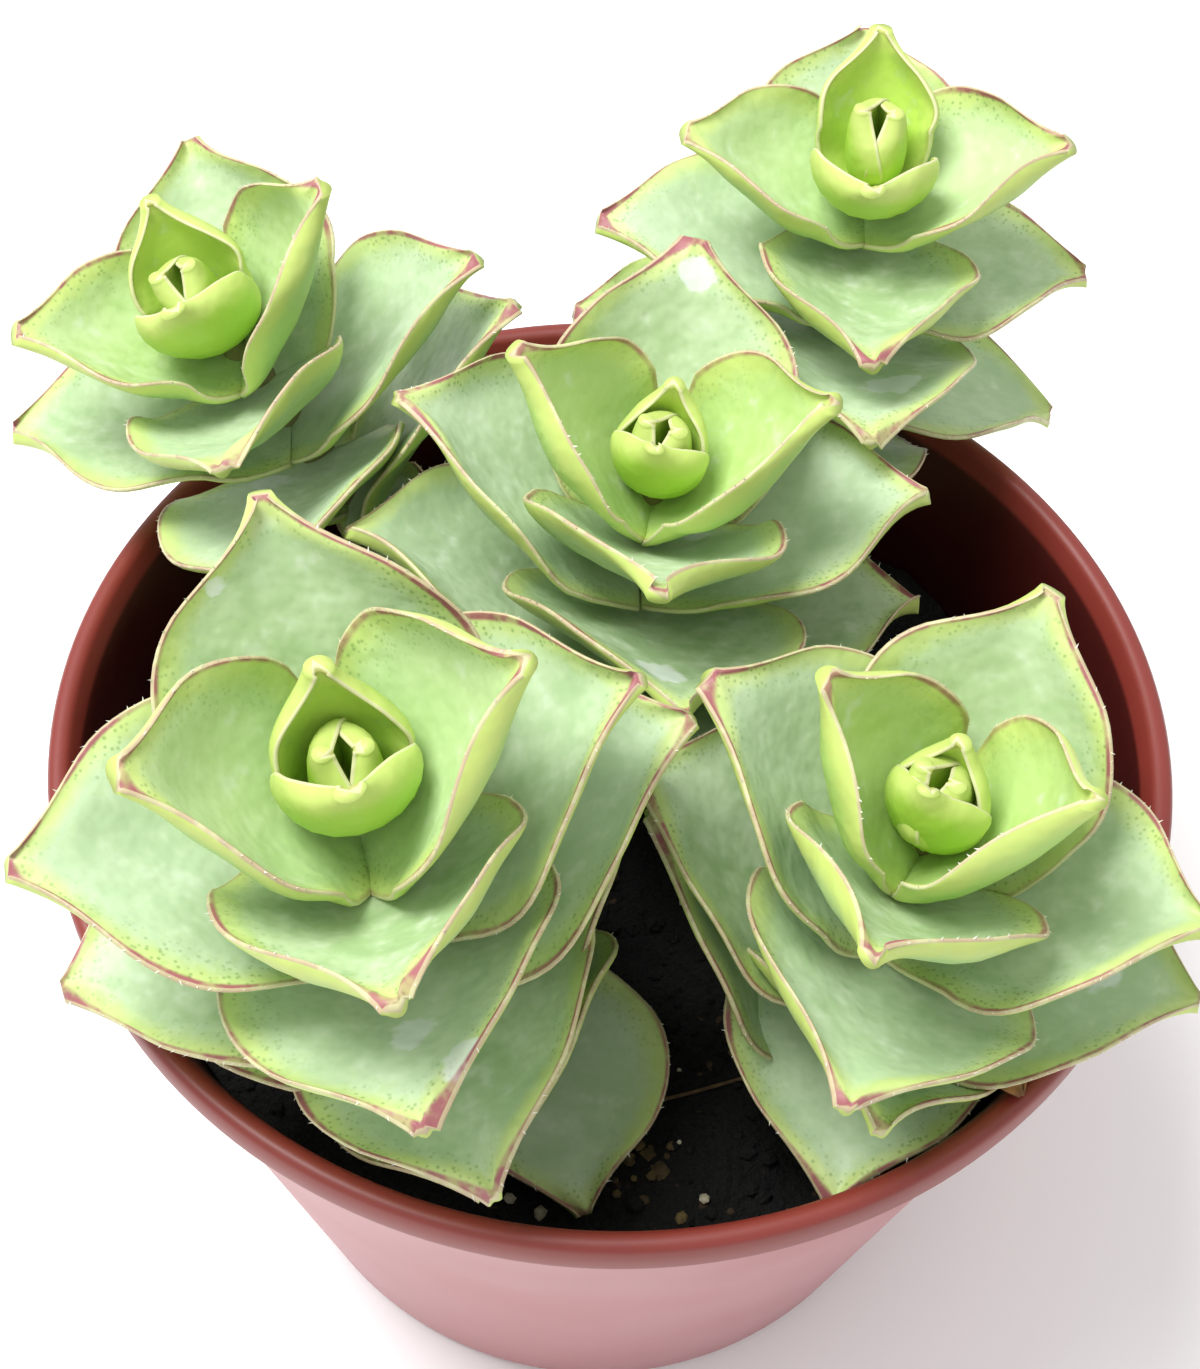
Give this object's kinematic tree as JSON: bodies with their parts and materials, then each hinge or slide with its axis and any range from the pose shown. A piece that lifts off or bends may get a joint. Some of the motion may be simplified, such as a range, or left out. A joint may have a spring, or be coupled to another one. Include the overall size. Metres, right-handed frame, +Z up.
{
  "type": "potted succulent",
  "caption": "String of buttons succulent: leafy stems of joined, pointed leaf pairs in a squat round nursery pot of dark soil.",
  "frame": {"origin": "centre of the pot's flat base, on the surface it stands on", "axes": "+Z up, -Y towards the front of the picture, +X to its right"},
  "size_m": [0.1089, 0.117, 0.1167],
  "materials": {
    "pot_plastic": "satin red-brown plastic",
    "soil": "dark loose potting mix",
    "leaf": "waxy blue-green leaf with a pink margin"
  },
  "bodies": {
    "root": {"pot": "pot_plastic", "soil": "soil", "stem_front_left": "leaf", "stem_front_right": "leaf", "stem_middle": "leaf", "stem_back_left": "leaf", "stem_back_right": "leaf"}
  },
  "joints": []
}
